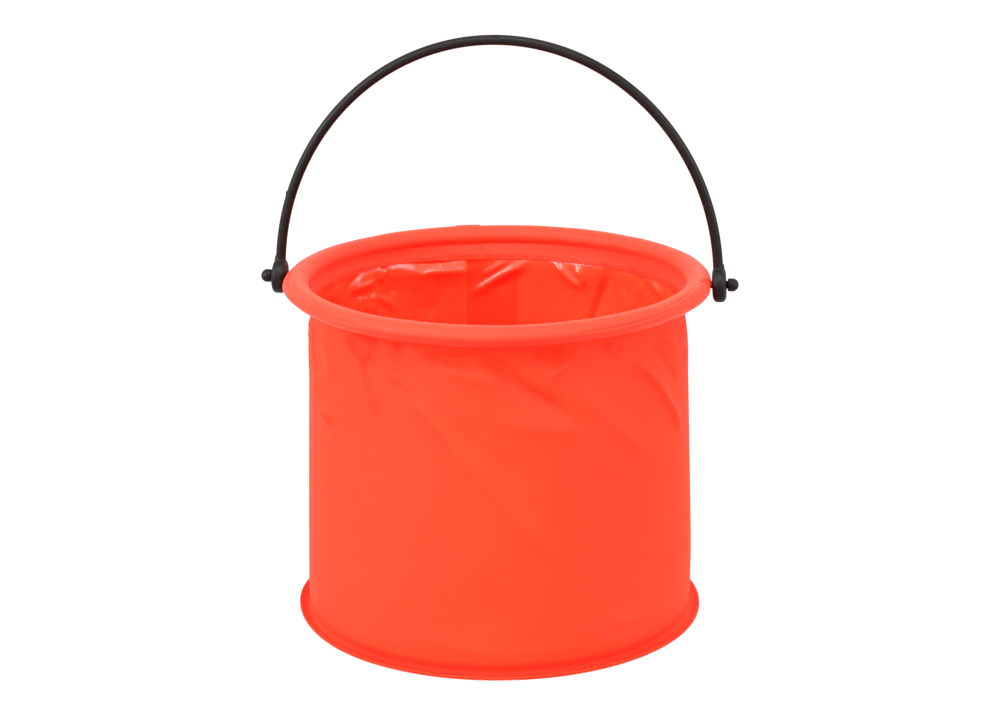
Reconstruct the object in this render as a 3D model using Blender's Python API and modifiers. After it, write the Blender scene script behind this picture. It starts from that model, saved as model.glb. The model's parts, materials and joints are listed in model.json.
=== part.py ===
"""Folding bucket: a welded coated-fabric body hung from a rigid rim, with a moulded bail handle.

Metres, +Z up. The origin is on the floor under the middle of the bucket, and the handle's
pivots lie on the X axis. The bucket stands open, with its handle upright.
"""

import math

import bmesh
import bpy
from mathutils import Matrix, Vector

# Driving dimensions
RIM_RADIUS = 0.124  # centreline of the rim hoop
RIM_HEIGHT = 0.2122  # the same centreline above the floor
CLOTH = 0.0005  # coated fabric thickness
GAP = 0.0003  # clearance between pieces that touch
LIP_RADIUS = 0.1277  # welded lip round the base
WALL_FOOT_RADIUS = 0.1218  # outside of the wall just above the lip
WALL_TOP_RADIUS = 0.1164  # outside of the wall under the rim
WALL_TOP_HEIGHT = 0.2076
FLARE_RISE, FLARE_RUN = 0.0105, 0.0030  # the wall's foot curves out into its flange
HEM_HALF_WIDTH = 0.0076  # outside of the hem that wraps the hoop
HEM_HALF_HEIGHT = 0.0061
HEM_TAIL_HEIGHT = 0.1975  # lower edge of the hem's inner tail
HEM_ROLL_START = math.radians(212)  # round the section, from its outer side
HOOP_WALL = 0.0016
HOOP_PLAY = 0.0007  # between the hoop and the hem round it
HOOP_SPLIT = 0.0008  # gap between the hoop's two ends
HOOP_CUT_ANGLE = math.radians(266)  # where that gap is, from +X
JOINER_LENGTH = 0.036
JOINER_WALL = 0.0011
JOINER_PLAY = 0.0005  # between the joiner and the hoop round it
SEAM_ANGLE = math.radians(111.5)  # middle of the wall's seam tape, from +X
SEAM_WIDTH = 0.018
TAPE_BOTTOM = 0.010
TAPE_TOP_GAP = 0.004  # the tape stops this far below the hem's tail
TAPE_GAP = 0.0006  # to the wall; a little more than GAP, as both are faceted

PIVOT_HEIGHT = RIM_HEIGHT
BAIL_HALF_SPAN = 0.1358  # handle bar centreline at the pivots
BAIL_LEG = 0.0021  # straight length above each pivot
BAIL_RISE = 0.1469  # the arch above those legs
BAR_RADIUS = 0.00315
BOSS_RADIUS = 0.01085
BOSS_INNER = 0.1322  # inner face of each eye boss
BOSS_THICKNESS = 0.0086
BOSS_SPLAY = math.radians(3)  # the handle's ends are pushed outwards at their lower side
BOSS_BEVEL = 0.0012
NECK_BOTTOM, NECK_TOP = 0.0085, 0.0150  # flare above the pivot, up to the bar
NECK_RADIUS, NECK_TOP_RADIUS = 0.0043, 0.0033
NECK_OUTSET = 0.0002  # how far the flare lies outside the bar's centreline
GATE_RADIUS, GATE_DEPTH = 0.0021, 0.0006  # moulding dimple on top of the arch

SHANK_RADIUS = 0.0024  # stud through hoop, hem and eye
BALL_RADIUS = 0.0041  # the head's round end
BALL_CENTRE = 0.1443  # from the bucket's axis
HEAD_FOOT, HEAD_FOOT_RADIUS = 0.1416, 0.0039  # the head's shoulder, just off the eye
BORE_RADIUS = 0.0028  # every hole that the stud passes through
STAKE_RADIUS = 0.0029  # the stud's inner end, staked in a countersink under the hem
STAKE_END, STAKE_START = 0.1185, 0.1192
COUNTERSINK_PLAY = 0.0005
CUTTER_INNER, CUTTER_OUTER = 0.1130, 0.1380  # reach of the cutters through the rim
HEM_CUTTER_INNER = 0.1270  # the hem is pierced on its outer side only
BORE_OVERSHOOT = 0.004  # how far the eye's cutter stands out of the boss

RING_STEPS = 48
SMALL_STEPS = 24


def clear_scene():
    for existing in list(bpy.data.objects):
        bpy.data.objects.remove(existing, do_unlink=True)


def new_collection(name):
    made = bpy.data.collections.new(name)
    bpy.context.scene.collection.children.link(made)
    return made


def new_material(name, colour, roughness):
    material = bpy.data.materials.new(name)
    material.use_nodes = True
    shader = material.node_tree.nodes["Principled BSDF"]
    shader.inputs["Base Color"].default_value = (*colour, 1.0)
    shader.inputs["Roughness"].default_value = roughness
    shader.inputs["Metallic"].default_value = 0.0
    return material


def new_object(name, data, collection, material=None):
    made = bpy.data.objects.new(name, data)
    collection.objects.link(made)
    if material:
        data.materials.append(material)
    return made


def profile_mesh(name, points, closed=False):
    """A polyline in the XZ plane, given as (radius, height), ready for a Screw modifier."""
    mesh = bpy.data.meshes.new(name)
    edges = [(i, i + 1) for i in range(len(points) - 1)]
    if closed:
        edges.append((len(points) - 1, 0))
    mesh.from_pydata([(r, 0.0, z) for r, z in points], edges, [])
    return mesh


def turned(name, points, collection, material=None, steps=RING_STEPS, sweep=2 * math.pi,
           closed=False):
    """A profile of (radius, height) points turned about +Z."""
    made = new_object(name, profile_mesh(name, points, closed), collection, material)
    screw = made.modifiers.new("Turn", "SCREW")
    screw.axis = "Z"
    screw.angle = sweep
    screw.steps = screw.render_steps = steps
    screw.use_merge_vertices = True
    screw.merge_threshold = 0.00001
    screw.use_smooth_shade = True
    return made


def thicken(made, thickness):
    """Gives an open surface its thickness, half on each side."""
    solidify = made.modifiers.new("Thickness", "SOLIDIFY")
    solidify.thickness = thickness
    solidify.offset = 0.0
    solidify.use_even_offset = True


def cut(made, cutter):
    difference = made.modifiers.new("Cut", "BOOLEAN")
    difference.operation = "DIFFERENCE"
    difference.object = cutter


def join(made, other):
    union = made.modifiers.new("Join", "BOOLEAN")
    union.operation = "UNION"
    union.object = other


def as_guide(made):
    made.hide_render = True
    made.display_type = "WIRE"


def cylinder_x(name, radius, start, end, height, collection, bevel=0.0, splay=0.0):
    """A cylinder along X from start to end, its axis at the given height."""
    mesh = bpy.data.meshes.new(name)
    shape = bmesh.new()
    bmesh.ops.create_cone(shape, cap_ends=True, segments=SMALL_STEPS, radius1=radius,
                          radius2=radius, depth=abs(end - start))
    if bevel:
        rims = [e for e in shape.edges if abs(e.verts[0].co.z - e.verts[1].co.z) < 1e-6]
        bmesh.ops.bevel(shape, geom=rims, offset=bevel, segments=2, profile=0.5, affect="EDGES")
    bmesh.ops.rotate(shape, verts=shape.verts, cent=(0, 0, 0),
                     matrix=Matrix.Rotation(math.pi / 2 + splay, 3, "Y"))
    shape.to_mesh(mesh)
    shape.free()
    made = new_object(name, mesh, collection)
    made.location = ((start + end) / 2, 0.0, height)
    as_guide(made)
    return made


def oval(centre_radius, half_width, half_height, count):
    """Points round an oval section of the rim, starting on its outer side."""
    turns = [2 * math.pi * i / count for i in range(count)]
    return [(centre_radius + half_width * math.cos(a), RIM_HEIGHT + half_height * math.sin(a))
            for a in turns]


def base_panel(collection, material):
    """Round fabric floor, as wide as the lip, flat on whatever the bucket stands on."""
    return turned("base_panel", [(0, CLOTH), (LIP_RADIUS, CLOTH), (LIP_RADIUS, 0), (0, 0)],
                  collection, material)


def wall_panel(collection, material):
    """Side wall, whose foot turns out into a flange that is welded on the base's edge."""
    flange = CLOTH + GAP + CLOTH / 2
    foot = WALL_FOOT_RADIUS - CLOTH / 2
    top = WALL_TOP_RADIUS - CLOTH / 2
    profile = [(top, WALL_TOP_HEIGHT), ((top + foot) / 2, WALL_TOP_HEIGHT / 2)]
    flare_steps = 3
    for i in range(flare_steps + 1):
        a = math.pi / 2 * i / flare_steps
        profile.append((foot + FLARE_RUN * (1 - math.cos(a)),
                        flange + FLARE_RISE * (1 - math.sin(a))))
    profile.append((LIP_RADIUS, flange))
    made = turned("wall_panel", profile, collection, material)
    thicken(made, CLOTH)
    return made


def seam_tape(collection, material):
    """Narrow strip that covers the wall's lapped seam on the inside."""
    low, high = TAPE_BOTTOM, HEM_TAIL_HEIGHT - TAPE_TOP_GAP
    inset = CLOTH + TAPE_GAP + CLOTH / 2

    def radius_at(z):
        share = z / WALL_TOP_HEIGHT
        return WALL_FOOT_RADIUS + (WALL_TOP_RADIUS - WALL_FOOT_RADIUS) * share - inset

    width_angle = SEAM_WIDTH / WALL_FOOT_RADIUS
    made = turned("wall_seam_tape", [(radius_at(high), high), (radius_at(low), low)],
                  collection, material, steps=3, sweep=width_angle)
    made.rotation_euler.z = SEAM_ANGLE - width_angle / 2
    thicken(made, CLOTH)
    return made


def rim_sleeve(collection, guides, material):
    """Hem strip rolled round the hoop, with a tail down the inside of the wall."""
    half_width = HEM_HALF_WIDTH - CLOTH / 2
    half_height = HEM_HALF_HEIGHT - CLOTH / 2
    tail = WALL_TOP_RADIUS - CLOTH - GAP - CLOTH / 2
    end, count = math.radians(540), 12
    roll = []
    for i in range(count + 1):
        a = HEM_ROLL_START + (end - HEM_ROLL_START) * i / count
        roll.append((RIM_RADIUS + half_width * math.cos(a), RIM_HEIGHT + half_height * math.sin(a)))
    roll += [(tail, RIM_HEIGHT - half_height / 2), (tail, RIM_HEIGHT - half_height),
             (tail, HEM_TAIL_HEIGHT)]
    made = turned("rim_sleeve", roll, collection, material)
    thicken(made, CLOTH)
    for side, word in ((1, "right"), (-1, "left")):
        cut(made, cylinder_x(word + "_hem_hole", BORE_RADIUS, side * HEM_CUTTER_INNER,
                             side * CUTTER_OUTER, PIVOT_HEIGHT, guides))
    return made


def rim_hoop(collection, guides, material):
    """Plastic tube bent round into the rim, open where its two ends meet."""
    half_width = HEM_HALF_WIDTH - CLOTH - HOOP_PLAY - HOOP_WALL / 2
    half_height = HEM_HALF_HEIGHT - CLOTH - HOOP_PLAY - HOOP_WALL / 2
    split = HOOP_SPLIT / RIM_RADIUS
    made = turned("rim_hoop", oval(RIM_RADIUS, half_width, half_height, 12), collection, material,
                  sweep=2 * math.pi - split, closed=True)
    thicken(made, HOOP_WALL)
    made.rotation_euler.z = HOOP_CUT_ANGLE + split / 2
    for side, word in ((1, "right"), (-1, "left")):
        cut(made, hoop_hole(word + "_hoop_hole", side, guides))
    return made


def hoop_hole(name, side, guides):
    """Cutter for the stud's hole through the hoop, with a countersink for its staked end."""
    wide = STAKE_RADIUS + COUNTERSINK_PLAY
    profile = [(0, CUTTER_OUTER), (BORE_RADIUS, CUTTER_OUTER), (BORE_RADIUS, STAKE_START),
               (wide, STAKE_END), (wide, CUTTER_INNER), (0, CUTTER_INNER)]
    made = turned(name, profile, guides, steps=SMALL_STEPS)
    point_outwards(made, side)
    as_guide(made)
    return made


def point_outwards(made, side):
    """Turns a piece made along +Z so that it lies on the pivots' axis, outer end outwards."""
    made.rotation_euler = (0.0, side * math.pi / 2, 0.0)
    made.location = (0.0, 0.0, PIVOT_HEIGHT)


def hoop_joiner(collection, material):
    """Short tube pushed into both ends of the hoop."""
    inside = CLOTH + HOOP_PLAY + HOOP_WALL + JOINER_PLAY + JOINER_WALL / 2
    length_angle = JOINER_LENGTH / RIM_RADIUS
    section = oval(RIM_RADIUS, HEM_HALF_WIDTH - inside, HEM_HALF_HEIGHT - inside, 12)
    made = turned("hoop_joiner", section, collection, material, steps=5, sweep=length_angle,
                  closed=True)
    thicken(made, JOINER_WALL)
    made.rotation_euler.z = HOOP_CUT_ANGLE - length_angle / 2
    return made


def stud(name, side, collection, material):
    """Pin through the hoop, the hem and the handle's eye, with a round-ended head outside."""
    steps = 6
    head = []
    for i in range(steps + 1):
        a = math.pi / 2 * i / steps
        head.append((BALL_RADIUS * math.sin(a), BALL_CENTRE + BALL_RADIUS * math.cos(a)))
    head += [(HEAD_FOOT_RADIUS, HEAD_FOOT), (SHANK_RADIUS, HEAD_FOOT)]
    tail = [(SHANK_RADIUS, STAKE_START), (STAKE_RADIUS, STAKE_END), (0, STAKE_END)]
    made = turned(name, head + tail, collection, material, steps=16)
    point_outwards(made, side)
    return made


def bail_path(count=36):
    """The handle bar's centreline: a short leg, half an ellipse, and a short leg."""
    points = [(BAIL_HALF_SPAN, 0.0, PIVOT_HEIGHT)]
    for i in range(count + 1):
        a = math.pi * i / count
        points.append((BAIL_HALF_SPAN * math.cos(a), 0.0,
                       PIVOT_HEIGHT + BAIL_LEG + BAIL_RISE * math.sin(a)))
    return points + [(-BAIL_HALF_SPAN, 0.0, PIVOT_HEIGHT)]


def bar_mesh():
    """The round bar along that centreline, as a closed mesh."""
    curve = bpy.data.curves.new("bar", "CURVE")
    curve.dimensions = "3D"
    curve.bevel_depth = BAR_RADIUS
    curve.bevel_resolution = 4
    curve.use_fill_caps = True
    path = bail_path()
    spline = curve.splines.new("POLY")
    spline.points.add(len(path) - 1)
    for point, place in zip(spline.points, path):
        point.co = (*place, 1.0)
    drawn = bpy.data.objects.new("bar", curve)
    bpy.context.scene.collection.objects.link(drawn)
    bpy.context.view_layer.update()
    evaluated = drawn.evaluated_get(bpy.context.evaluated_depsgraph_get())
    mesh = bpy.data.meshes.new_from_object(evaluated)
    bpy.data.objects.remove(drawn, do_unlink=True)
    shape = bmesh.new()
    shape.from_mesh(mesh)
    bmesh.ops.remove_doubles(shape, verts=shape.verts, dist=0.00001)
    shape.to_mesh(mesh)
    shape.free()
    mesh.shade_smooth()
    mesh.name = "handle"
    return mesh


def neck_flare(name, side, guides):
    """Cone from the bar's thickness out to nearly the boss's, just above the boss."""
    mesh = bpy.data.meshes.new(name)
    shape = bmesh.new()
    bmesh.ops.create_cone(shape, cap_ends=True, segments=SMALL_STEPS, radius1=NECK_RADIUS,
                          radius2=NECK_TOP_RADIUS, depth=NECK_TOP - NECK_BOTTOM)
    shape.to_mesh(mesh)
    shape.free()
    made = new_object(name, mesh, guides)
    made.location = (side * (BAIL_HALF_SPAN + NECK_OUTSET), 0.0,
                     PIVOT_HEIGHT + (NECK_BOTTOM + NECK_TOP) / 2)
    as_guide(made)
    return made


def handle(collection, guides, material):
    """The bail: one moulded bar with an eye boss at each end, hinged on the studs."""
    mesh = bar_mesh()
    mesh.transform(Matrix.Translation((0.0, 0.0, -PIVOT_HEIGHT)))
    made = new_object("handle", mesh, collection, material)
    made.location = (0.0, 0.0, PIVOT_HEIGHT)
    for side, word in ((1, "right"), (-1, "left")):
        inner, outer = side * BOSS_INNER, side * (BOSS_INNER + BOSS_THICKNESS)
        join(made, cylinder_x(word + "_boss", BOSS_RADIUS, inner, outer, PIVOT_HEIGHT, guides,
                              bevel=BOSS_BEVEL, splay=-side * BOSS_SPLAY))
        join(made, neck_flare(word + "_neck", side, guides))
    for side, word in ((1, "right"), (-1, "left")):
        start = side * (BOSS_INNER - BORE_OVERSHOOT)
        end = side * (BOSS_INNER + BOSS_THICKNESS + BORE_OVERSHOOT)
        cut(made, cylinder_x(word + "_eye_bore", BORE_RADIUS, start, end, PIVOT_HEIGHT, guides))
    cut(made, gate_cutter(guides))
    return made


def gate_cutter(guides):
    """Shallow round dimple, up and forwards, in the middle of the arch."""
    mesh = bpy.data.meshes.new("gate_dimple")
    shape = bmesh.new()
    bmesh.ops.create_cone(shape, cap_ends=True, segments=16, radius1=GATE_RADIUS,
                          radius2=GATE_RADIUS, depth=2 * GATE_DEPTH)
    shape.to_mesh(mesh)
    shape.free()
    made = new_object("gate_dimple", mesh, guides)
    tilt = math.radians(42)
    out = Vector((0.0, -math.sin(tilt), math.cos(tilt)))
    arch_top = Vector((0.0, 0.0, PIVOT_HEIGHT + BAIL_LEG + BAIL_RISE))
    made.location = arch_top + out * BAR_RADIUS
    made.rotation_euler.x = tilt
    as_guide(made)
    return made


def main():
    clear_scene()
    bucket = new_collection("folding_bucket")
    guides = new_collection("cutters_and_guides")
    fabric = new_material("coated_fabric", (1.0, 0.085, 0.031), 0.55)
    hem_fabric = new_material("hem_fabric", (1.0, 0.11, 0.045), 0.6)
    black = new_material("black_plastic", (0.022, 0.021, 0.020), 0.45)
    natural = new_material("natural_plastic", (0.62, 0.60, 0.55), 0.4)

    base_panel(bucket, fabric)
    wall_panel(bucket, fabric)
    seam_tape(bucket, fabric)
    rim_sleeve(bucket, guides, hem_fabric)
    rim_hoop(bucket, guides, natural)
    hoop_joiner(bucket, natural)
    for side, word in ((1, "right"), (-1, "left")):
        stud(word + "_stud", side, bucket, black)
    handle(bucket, guides, black)
    bpy.context.view_layer.update()


main()
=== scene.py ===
import json
import math
import random

import bmesh
import bpy
import numpy as np
from mathutils import Matrix, Vector


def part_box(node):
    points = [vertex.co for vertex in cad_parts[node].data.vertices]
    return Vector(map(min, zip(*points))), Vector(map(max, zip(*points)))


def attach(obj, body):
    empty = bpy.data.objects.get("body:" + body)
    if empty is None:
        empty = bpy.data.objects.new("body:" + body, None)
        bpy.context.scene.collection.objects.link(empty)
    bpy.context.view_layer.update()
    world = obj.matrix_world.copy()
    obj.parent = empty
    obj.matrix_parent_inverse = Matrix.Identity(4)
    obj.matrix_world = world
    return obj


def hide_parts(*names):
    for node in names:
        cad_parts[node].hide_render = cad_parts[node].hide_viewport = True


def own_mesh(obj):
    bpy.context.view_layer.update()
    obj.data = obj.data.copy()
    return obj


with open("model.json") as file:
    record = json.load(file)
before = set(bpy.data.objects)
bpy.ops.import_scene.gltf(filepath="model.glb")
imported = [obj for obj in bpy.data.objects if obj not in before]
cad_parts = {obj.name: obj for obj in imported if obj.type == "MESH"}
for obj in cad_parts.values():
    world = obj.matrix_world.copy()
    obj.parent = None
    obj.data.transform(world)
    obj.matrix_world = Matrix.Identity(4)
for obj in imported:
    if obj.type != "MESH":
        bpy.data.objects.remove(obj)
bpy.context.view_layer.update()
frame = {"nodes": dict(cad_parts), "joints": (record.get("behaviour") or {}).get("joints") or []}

# Sizes that the frame gives, in metres
joints = {joint["name"]: joint for joint in frame["joints"]}
PIVOT = Vector(joints["handle_swing"]["pos_m"])
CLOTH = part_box("base_panel")[1].z
LIP_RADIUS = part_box("base_panel")[1].x
WALL_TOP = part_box("wall_panel")[1].z
TAIL_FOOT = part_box("rim_sleeve")[0].z
TAPE_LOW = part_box("wall_seam_tape")[0].z

# Sizes of the wall, as the frame's solids have them
WALL_TOP_RADIUS, WALL_FOOT_RADIUS = 0.1164, 0.1218
FOOT_TOP = 0.0150
# (radius, height) of the wall's foot: it tucks in, then turns out into the lip
FOOT_PROFILE = [(0.12165, 0.0125), (0.1215, 0.0100), (0.1212, 0.0078), (0.1208, 0.0058),
                (0.1206, 0.0042), (0.1208, 0.0030), (0.1216, 0.0020), (0.1230, 0.0015),
                (0.1245, 0.0015), (0.1258, 0.0018), (0.1269, 0.0022), (0.1277, 0.0022)]
COLUMNS = 720  # round the bucket
STEP_DEGREES = 360 / COLUMNS
WALL_ROWS, ROW_CROWDING = 165, 0.45  # down the wall, and how much closer they are near the rim
FOOT_ROWS, FOOT_PASSES = 4 * len(FOOT_PROFILE), 6

# The wall's shape. Heights are in metres, and how far it stands out is in mm, inwards if negative.
HELD_TOP, HELD_FOOT = (0.001, 0.007), (0.009, 0.016)  # (where it is held, where it comes free)
# (height, mm) where the hem's tail and its weight draw the wall in
NECK_PROFILE = [(0.155, 0.0), (0.170, 0.5), (0.180, 0.3), (0.187, -0.3), (0.192, -1.0),
                (0.1975, -1.55), (0.2010, -0.8), (0.2035, 0.7), (0.2055, 2.4), (0.2076, 3.7)]
# (height, mm) that the back stands out besides: under the tail it sags inwards
BACK_PROFILE = [(0.150, 0.0), (0.165, 0.3), (0.178, -0.2), (0.185, -1.0), (0.190, -1.3),
                (0.1945, -1.15), (0.1965, -0.8), (0.1985, 0.0), (0.2020, 0.5)]
BACK_FIRST, BACK_LAST, BACK_EASE = 5, 175, 30  # degrees
FOLD_GAINS = (3.0, 1.6, 1.6)  # of the front, the back and the loose folds
FOLD_FADE, FOLD_END = 0.28, 0.15  # share of a fold's line that fades, and what is left at its end
# (first degree, last degree, how many) of the loose folds under the rim; then how many at the foot
LOOSE_PLACES, FOOT_FOLDS = ((345, 378, 6), (158, 198, 8), (20, 60, 5), (112, 158, 5)), 18
LOOSE_SEED = 7
# (waves round the bucket, mm, phase, radians per metre of height)
WALL_SWELL = ((2, 0.30, 0.4, 3), (3, 0.35, 2.0, -8), (5, 0.22, 1.1, 14), (7, 0.14, 4.0, -21),
              (11, 0.08, 0.3, 30))
SWELL_FADE = 0.05
SEAM_STEP = (89.5, 106.3, 107.3)  # degrees: a panel that rises to the seam, and drops at it
SEAM_RISE = 1.0  # mm
SEAM_TOP, SEAM_EASE = 0.010, 0.004  # below the wall's top
SEAM_BEAD = ([(107.3, 205), (107.3, 150), (107.2, 20)], -0.55, 0.9, 1.0)  # as in the folds below
TAPE_THICKNESS = 0.00008
TAPE_FIRST, TAPE_LAST = 215, 232  # columns that the seam tape covers
TAPE_RISE = 0.006  # that it starts above its solid's foot, clear of the base

# The lip and the floor, in metres
LIP_CURL, LIP_BEND = 0.0007, 0.1235  # how far the base's edge curls up, and from which radius
LIP_ROOT, LIP_RISE = 0.1206, (186, 30, 0.0028)  # (degrees, half width, metres) of a raised part
LIP_TURN, LIP_TURN_EASE = 0.006, 0.003  # height below which the wall rises with its lip
RISE_POWER, CURL_POWER = 1.3, 1.5  # above 1: bends more towards the edge
LIP_RINGS, FLOOR_RINGS = 9, 30
WELD_INNER, FLOOR_EDGE, FLOOR_MIDDLE = 0.122, 0.118, 0.004  # radii between which the base has rings
# (waves round the floor, mm, phase, radians per metre of radius), faded out at its edge and middle
FLOOR_SWELL = ((2, 0.5, 0.5, 40), (3, 0.4, 2.2, -60), (5, 0.25, 1.0, 85))
SWELL_EDGE, SWELL_RUN, SWELL_MIDDLE = 0.117, 0.03, 0.02

# The hem, rolled round the hoop, and its tail inside the wall
RIM_RADIUS = 0.1240
HEM_HALF_WIDTH, HEM_HALF_HEIGHT = 0.0076, 0.0061
HEM_SECTION_RADIUS = 0.0068
ROLL_START, ROLL_END = 250, 590  # degrees round the hem's section, from its outer side
OUTER_REACH = 5.8  # radians round the section, past which nothing more is its outer side
HEM_FLAT, HEM_FLATNESS = (282, 354), 0.5  # degrees where it is drawn flat, and how far
ROLL_ROWS, TAIL_ROWS = 100, 18
# (radius, height) of the tail's visible side, from the roll down to its lower edge
TAIL_PROFILE = [(0.1189, 0.2072), (0.1176, 0.2055), (0.1156, 0.2034), (0.1141, 0.2010),
                (0.1134, 0.1975)]
# (waves round the hem, mm, phase, radians per mm round its section)
HEM_SWELL = ((3, 0.10, 0.3, 0.10), (8, 0.08, 1.9, -0.2), (17, 0.06, 0.8, 0.3),
             (31, 0.035, 3.0, -0.4))
RIM_SAG, RIM_GAIN = 0.0006, 1.1  # metres that front and back hang down; strength of its folds
RIM_BULGES = ((193, 9, 0.9), (347, 9, 0.9))  # (degrees, half width, mm) beside the handle's ends
HEM_LAP = (101.0, 109.3)  # degrees that the hem strip's two ends overlap
LAP_RISE, LAP_EASE = 0.5, 0.8  # mm, degrees
# how much flatter the tail is than the roll, and metres that it follows the wall's folds outwards
TAIL_CALM, TAIL_PUSH = 0.8, 0.0003
# (waves, mm, phase, radians per 20 mm down) of small puckers in the tail
TAIL_PUCKERS = ((61, 0.10, 0.9, 9), (83, 0.07, 2.7, -6), (127, 0.03, 0.2, 12), (29, 0.25, 4.0, 3))
TAIL_LIFT = (137, 17, 0.0027)  # (degrees, half width, metres) where the tail's edge runs higher

# Looks: scales of the large and the small unevenness, and bands of painted shade and painted
# highlight
CLOTH_NOISE, PLASTIC_NOISE, PLASTIC_GRAIN = (14.0, 260.0), (60.0, 1800.0), 0.00006
SHEEN_ROUGHNESS, SHEEN_TINT = 0.35, (1.0, 0.55, 0.35, 1.0)
FOOT_SHADE_BAND = (0.0105, 0.0040, 0.1243, 0.1258)  # heights, then radii, where the painted shade in the groove above the lip starts and ends
FOOT_SHADE_FRONT = (206, 240, 316, 350)  # degrees between which the painted shade at the foot is darkest, on the front
FOOT_SHADE_DEPTH, PANEL_SHADE_DEPTH = (0.08, 0.45), 0.25  # how much darker the painted shade makes the foot's groove (elsewhere, then on the front) and the panel beside the seam
PANEL_EASE = 0.002
SEAM_HIGHLIGHT_SPAN, SEAM_HIGHLIGHT = (106.7, 107.1, 107.5, 107.9), 0.45  # degrees, and strength, of a painted highlight along the seam tape's edge

# Sizes of the handle and the studs, as the frame's solids have them
BAIL_HALF_SPAN, BAIL_LEG, BAIL_RISE = 0.1358, 0.0021, 0.1469
BAR_RADIUS = 0.00315
BOSS_RADIUS, BOSS_INNER, BOSS_THICKNESS = 0.01085, 0.1322, 0.0086
BOSS_EASE_WIDE, BOSS_EASE_DEEP, BOSS_SPLAY = 0.0027, 0.0044, math.radians(3)
NECK_BOTTOM, NECK_TOP, NECK_RADIUS, NECK_OUTSET = 0.0040, 0.0128, 0.0042, 0.0004
NECK_TOP_RADIUS = BAR_RADIUS * 0.96
NUB_HEIGHT, NUB_RADIUS = 0.053, 0.0011  # a moulding nub on the left side of the bar
NUB_OUTSET = BAR_RADIUS * 0.95
GATE_RADIUS, GATE_DEPTH, GATE_TILT = 0.0021, 0.0006, math.radians(42)
BORE_RADIUS, SHANK_RADIUS = 0.0028, 0.0024
BALL_RADIUS, BALL_CENTRE = 0.0041, 0.1443
HEAD_FOOT, HEAD_FOOT_RADIUS = 0.1416, 0.0039
STAKE_RADIUS, STAKE_END, STAKE_START = 0.0029, 0.1185, 0.1192
HEAD_EASE = 0.0003
BAR_RINGS, BAR_SIDES, STUD_SIDES, ROUND_SIDES, BOSS_RINGS = 181, 28, 48, 64, 9
MELT_VOXEL, EASE_PASSES = 0.00045, 12

# The wall's folds, each a line of (degrees round from +X, height in mm), how far it stands out of
# the wall in mm (inwards if negative), its half width in mm, and how much wider its right side is.
FRONT_FOLDS = [
    # under the rim at the left: a long thin ridge with dark pockets beside it
    ([(222, 203), (226, 196), (233, 185), (240, 150)], 2.0, 2.0, 1.8),
    ([(228, 204), (233, 201), (239, 197)], -2.3, 4.6, 1.0),
    ([(239, 199), (237, 193), (235, 184)], -1.0, 1.8, 1.5),
    ([(240, 196), (244, 189), (249, 186)], 0.7, 2.4, 1.0),
    ([(244, 180), (249, 172), (254, 166)], -0.7, 3.0, 1.4),
    # the left edge: a broad soft fold that bulges at its foot
    ([(200, 186), (203, 176), (211, 165), (221, 146)], -1.1, 2.6, 1.2),
    ([(211, 194), (216, 184), (220, 168)], 0.9, 4.5, 1.0),
    ([(208, 170), (213, 156), (219, 138)], 1.8, 6.0, 1.3),
    ([(197, 195), (199, 188), (204, 181)], -0.9, 2.5, 1.0),
    # the middle: a broad trough that runs down to the right
    ([(268, 201), (277, 190), (285, 175), (292, 166), (299, 153)], -1.9, 5.8, 0.8),
    ([(258, 190), (268, 186), (280, 180)], 0.9, 6.0, 1.0),
    ([(274, 162), (284, 154), (303, 149)], 0.5, 7.0, 1.0),
    ([(254, 197), (262, 193.5), (271, 195)], -1.5, 4.0, 1.0),
    ([(244, 199), (249, 196)], -1.2, 3.4, 1.0),
    # right of the middle: a hollow closed by a V-shaped crease
    ([(285, 199), (290, 197), (296, 194)], -1.6, 5.0, 1.0),
    ([(301, 199), (297, 191), (292, 185), (291, 178)], 1.3, 1.9, 0.7),
    ([(302, 190), (309, 182), (318, 176)], 0.4, 4.0, 1.0),
    ([(316, 200), (315, 194), (312.5, 187)], 0.8, 1.7, 1.2),
    ([(308, 199), (311, 194)], -1.1, 3.6, 1.0),
    # right: the long ridge that falls to the right, and its soft neighbours
    ([(317, 190), (322, 180), (329, 166), (336, 149), (346, 124)], 1.4, 2.8, 1.8),
    ([(325, 193), (331, 184), (337, 172), (343, 158)], -0.8, 3.2, 1.0),
    ([(332, 196), (338, 188), (344, 178)], 0.8, 2.6, 1.0),
    ([(297, 177), (305, 161), (313, 145), (326, 120)], 0.6, 5.0, 1.6),
    ([(306, 184), (314, 178), (322, 173)], -0.6, 2.6, 1.0),
    # long faint diagonals down to the right
    ([(240, 190), (246, 181), (252, 168), (258, 154), (264, 140)], 0.75, 3.2, 1.6),
    ([(254, 160), (268, 129), (282, 95), (298, 61)], 0.4, 4.5, 1.5),
    ([(262, 160), (272, 140), (283, 120)], -0.4, 6.0, 1.0),
    ([(303, 128), (312, 105), (322, 80)], -0.3, 6.0, 1.0),
    ([(222, 128), (230, 108), (241, 84)], 0.35, 6.0, 1.0),
    ([(256, 22), (265, 17), (274, 15)], 0.4, 3.5, 1.0),
    ([(308, 28), (317, 24), (326, 26)], 0.4, 3.5, 1.0),
]
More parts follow.
